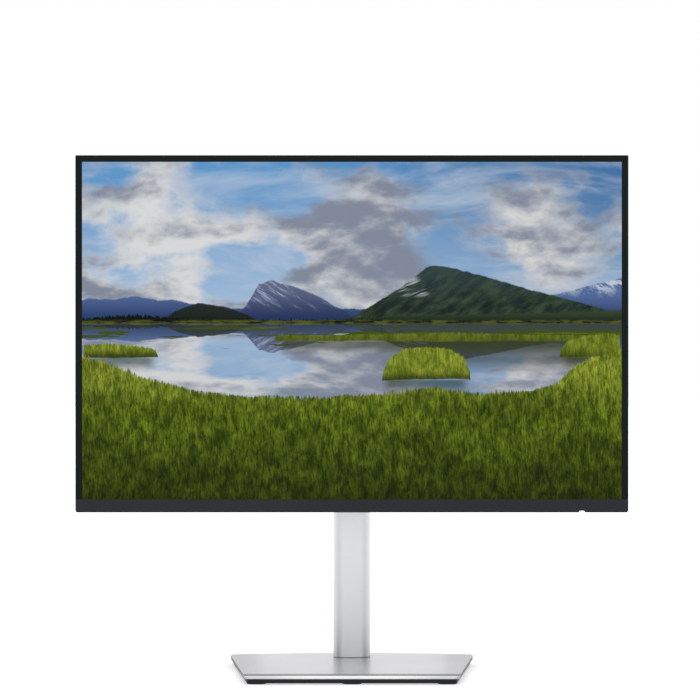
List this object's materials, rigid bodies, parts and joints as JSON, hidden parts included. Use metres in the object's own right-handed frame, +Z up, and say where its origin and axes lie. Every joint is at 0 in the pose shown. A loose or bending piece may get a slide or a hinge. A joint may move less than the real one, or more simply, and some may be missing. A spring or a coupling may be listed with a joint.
{
  "type": "computer monitor",
  "caption": "Flat desktop monitor with narrow bezels on a silver column stand that lifts, tilts, swivels and pivots to portrait, with a trapezoid base.",
  "frame": {"origin": "on the desk under the middle of the part's bounding box, which is the middle of the base front to back", "axes": "+Z up, the screen faces -Y, +X is to the right seen from the front"},
  "size_m": [0.531, 0.18, 0.501],
  "materials": {
    "silver_cover": "satin silver paint",
    "silver_base": "satin silver",
    "black_plastic": "fine matt texture",
    "bezel_black": "satin black",
    "bezel_slate": "satin dark slate",
    "rubber": "matt",
    "steel": "zinc plated",
    "dark_steel": "dark coating",
    "brass": "machined",
    "acetal": "natural",
    "glass": "anti-glare",
    "acrylic": "clear acrylic",
    "film": "white film",
    "board": "green solder mask",
    "chip": "black epoxy",
    "coil_tape": "yellow tape",
    "capacitor": "sleeved",
    "light": "clear white"
  },
  "bodies": {
    "base": {"base_top_cover": "silver_base", "base_underside": "black_plastic", "base_plate": "steel", "rubber_feet": "rubber", "base_screws": "steel", "swivel_washers": "acetal"},
    "column": {"swivel_hub": "dark_steel", "swivel_retainer": "steel", "swivel_screws": "steel", "column_core": "steel", "column_front_cover": "silver_cover", "column_rear_cover": "silver_cover", "column_top_cap": "silver_cover", "lift_stop": "black_plastic", "drum_axle": "steel", "spring_band": "steel"},
    "drum": {"spring_drum": "acetal", "spring_coil": "steel"},
    "carriage": {"lift_carriage": "dark_steel", "carriage_glides": "acetal", "tilt_shaft": "steel", "friction_discs": "steel", "tilt_nuts": "steel"},
    "yoke": {"tilt_bracket": "dark_steel", "hinge_covers": "black_plastic", "pivot_retainer": "steel", "pivot_screws": "steel", "pivot_washer": "acetal"},
    "power_key_body": {"power_key": "black_plastic"},
    "joystick_gimbal_body": {"joystick_gimbal": "black_plastic"},
    "joystick_stem_body": {"joystick_stem": "black_plastic"},
    "joystick_cap_body": {"joystick_cap": "black_plastic"},
    "release_body": {"release_slider": "black_plastic"},
    "display": {"quick_release_plate": "dark_steel", "release_spring": "steel", "rear_cover": "silver_cover", "rear_cover_screws": "steel", "vesa_bracket": "steel", "vesa_inserts": "brass", "chassis_plate": "steel", "power_board": "board", "power_transformer": "coil_tape", "power_capacitors": "capacitor", "power_inlet": "black_plastic", "main_board": "board", "main_chips": "chip", "signal_ports": "steel", "board_screws": "steel", "driver_board": "board", "display_ribbon": "film", "panel_tray": "steel", "light_guide": "acrylic", "led_bar": "film", "optical_films": "film", "panel_frame": "black_plastic", "lcd_glass": "glass", "front_frame": "bezel_black", "bottom_bezel": "bezel_slate", "button_board": "board", "power_light_guide": "light"}
  },
  "joints": [
    {"name": "swivel", "type": "hinge", "parent": "base", "child": "column", "pos_m": [0, 0.0655, 0.0098], "axis": [0, 0, 1], "range_deg": [-45, 45]},
    {"name": "lift", "type": "slide", "parent": "column", "child": "carriage", "axis": [0, 0, 1], "range_m": [-0.138, 0.012], "deforming": ["spring_band"]},
    {"name": "drum_turn", "type": "hinge", "parent": "column", "child": "drum", "pos_m": [0, 0.0709, 0.345], "axis": [1, 0, 0], "range_deg": [-90, 1000]},
    {"name": "tilt", "type": "hinge", "parent": "carriage", "child": "yoke", "pos_m": [0, 0.025, 0.332], "axis": [-1, 0, 0], "range_deg": [-5, 21]},
    {"name": "pivot", "type": "hinge", "parent": "yoke", "child": "display", "pos_m": [0, 0.0105, 0.332], "axis": [0, 1, 0], "range_deg": [0, 90]},
    {"name": "power_key_press", "type": "slide", "parent": "display", "child": "power_key_body", "axis": [0, 0, 1], "range_m": [0, 0.0008], "stiffness_N_per_m": 800},
    {"name": "joystick_side", "type": "hinge", "parent": "display", "child": "joystick_gimbal_body", "pos_m": [0.215, -0.0162, 0.192], "axis": [0, 0, 1], "range_deg": [-8, 8], "stiffness_Nm_per_rad": 0.08},
    {"name": "joystick_up", "type": "hinge", "parent": "joystick_gimbal_body", "child": "joystick_stem_body", "pos_m": [0.215, -0.0162, 0.192], "axis": [1, 0, 0], "range_deg": [-8, 8], "stiffness_Nm_per_rad": 0.08},
    {"name": "joystick_press", "type": "slide", "parent": "joystick_stem_body", "child": "joystick_cap_body", "axis": [0, -1, 0], "range_m": [0, 0.0005], "stiffness_N_per_m": 1200},
    {"name": "release_slide", "type": "slide", "parent": "display", "child": "release_body", "axis": [0, 0, -1], "range_m": [0, 0.003], "stiffness_N_per_m": 400, "springref_m": -0.001, "deforming": ["release_spring"]}
  ],
  "couplings": [
    {"joint": "drum_turn", "follows": "lift", "rad_per_m": -125}
  ]
}
